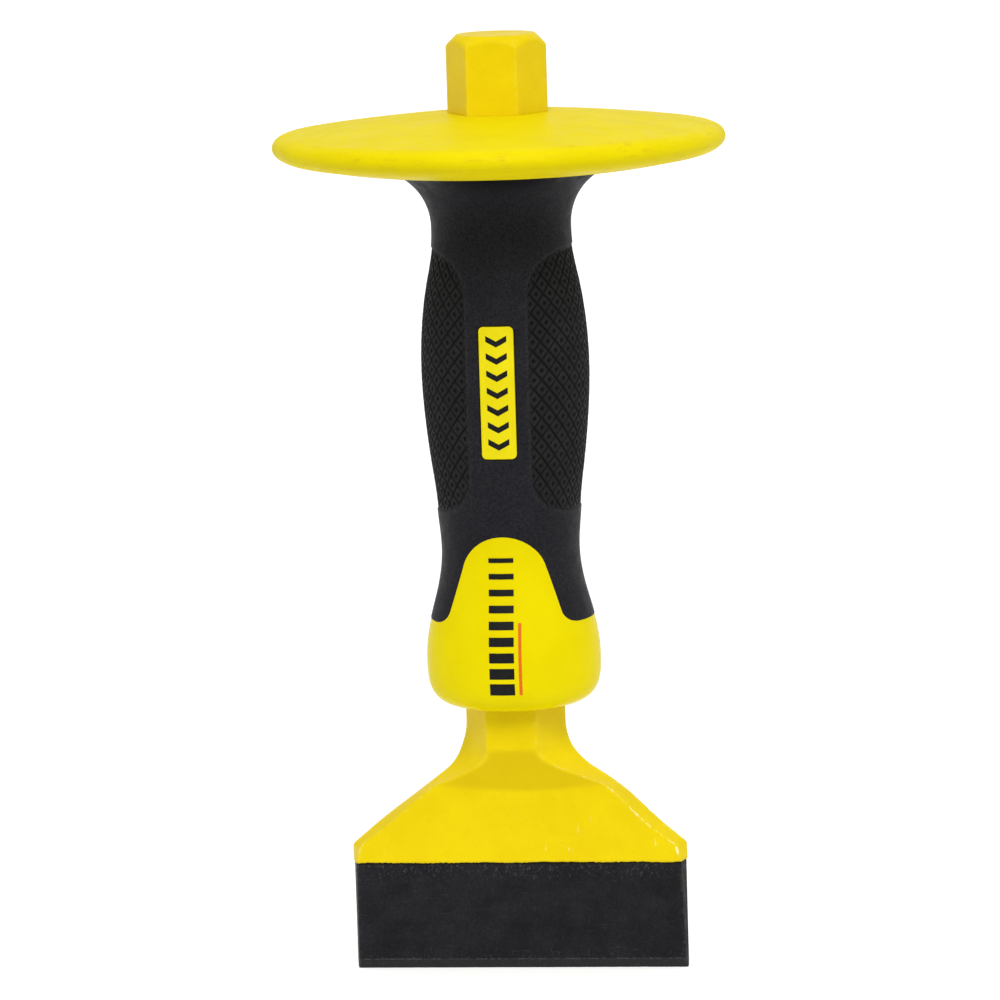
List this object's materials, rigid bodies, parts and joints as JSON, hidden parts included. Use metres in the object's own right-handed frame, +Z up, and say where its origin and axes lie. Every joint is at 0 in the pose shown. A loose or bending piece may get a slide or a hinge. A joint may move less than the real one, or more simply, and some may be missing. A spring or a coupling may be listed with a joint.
{
  "type": "brick set chisel",
  "caption": "Forged masonry chisel with a spade blade, hexagonal shank, moulded two-colour grip and a round hand guard.",
  "frame": {"origin": "middle of the cutting edge, at the bottom of the tool", "axes": "+Z up the tool's axis to the struck head; X along the cutting edge; -Y out of the face with the badge"},
  "size_m": [0.103, 0.103, 0.2159],
  "materials": {
    "black_steel": "ground, blackened, finely scratched",
    "yellow_paint": "semi-gloss paint over a forged surface",
    "guard_yellow": "matte, slightly scuffed",
    "core_yellow": "glossy moulded",
    "soft_black": "satin with a fine grain",
    "textured_black": "matte, diamond pattern",
    "badge_yellow": "satin label",
    "print_black": "pad print",
    "print_orange": "pad print"
  },
  "bodies": {
    "root": {"chisel_forging": "black_steel", "paint_coat": "yellow_paint", "guard_disc": "guard_yellow", "grip_core": "core_yellow", "grip_overmould": "soft_black", "grip_panel_left": "textured_black", "grip_panel_right": "textured_black", "badge_plate": "badge_yellow", "badge_print": "print_black", "bulb_print_bars": "print_black", "bulb_print_stripe": "print_orange"}
  },
  "joints": []
}
